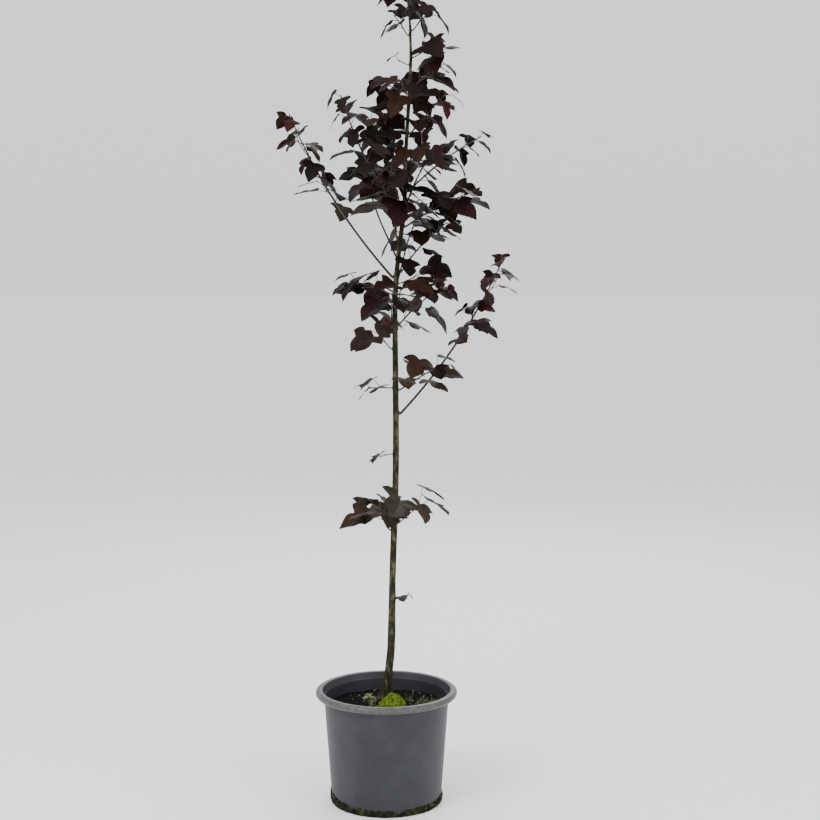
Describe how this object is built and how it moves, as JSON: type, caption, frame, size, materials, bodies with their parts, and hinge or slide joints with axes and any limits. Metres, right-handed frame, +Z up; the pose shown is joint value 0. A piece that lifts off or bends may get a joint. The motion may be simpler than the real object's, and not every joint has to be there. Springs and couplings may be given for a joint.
{
  "type": "potted tree",
  "caption": "Young sweetgum in a round nursery pot: a slender tapered trunk from root flare to tip, rising side shoots and dark purple lobed leaves.",
  "frame": {"origin": "centre of the pot's flat underside, on the pot's axis", "axes": "+Z up along the pot's axis, +X to the right and +Y to the back, seen from the front"},
  "size_m": [0.5362, 0.3796, 1.9342],
  "materials": {
    "pot_plastic": "matte, mottled grey",
    "compost": "rough, damp",
    "moss": "soft, matte",
    "bark": "rough, matte",
    "leaf": "satin"
  },
  "bodies": {
    "root": {"pot": "pot_plastic", "soil": "compost", "moss": "moss", "trunk": "bark", "right_long_bough": "bark", "left_long_bough": "bark", "right_back_bough": "bark", "left_back_bough": "bark", "left_front_bough": "bark", "left_high_bough": "bark", "right_high_bough": "bark", "foot_sprig_leaves": "leaf", "low_left_leaves": "leaf", "low_right_leaves": "leaf", "stem_left_leaves": "leaf", "right_long_leaves": "leaf", "right_short_leaves": "leaf", "left_short_leaves": "leaf", "left_fork_leaves": "leaf", "back_low_leaves": "leaf", "right_low_leaves": "leaf", "front_low_leaves": "leaf", "left_low_leaves": "leaf", "right_facing_leaves": "leaf", "left_long_leaves": "leaf", "right_back_leaves": "leaf", "right_mid_leaves": "leaf", "left_back_leaves": "leaf", "left_front_leaves": "leaf", "right_wide_leaves": "leaf", "front_mid_leaves": "leaf", "left_high_leaves": "leaf", "back_mid_leaves": "leaf", "right_high_leaves": "leaf", "front_high_leaves": "leaf", "back_high_leaves": "leaf", "left_upper_leaves": "leaf", "right_upper_leaves": "leaf", "front_upper_leaves": "leaf", "back_upper_leaves": "leaf", "left_top_leaves": "leaf", "right_top_leaves": "leaf", "left_tip_leaves": "leaf", "right_tip_leaves": "leaf", "left_crown_leaves": "leaf", "right_crown_leaves": "leaf", "leader_leaves": "leaf"}
  },
  "joints": []
}
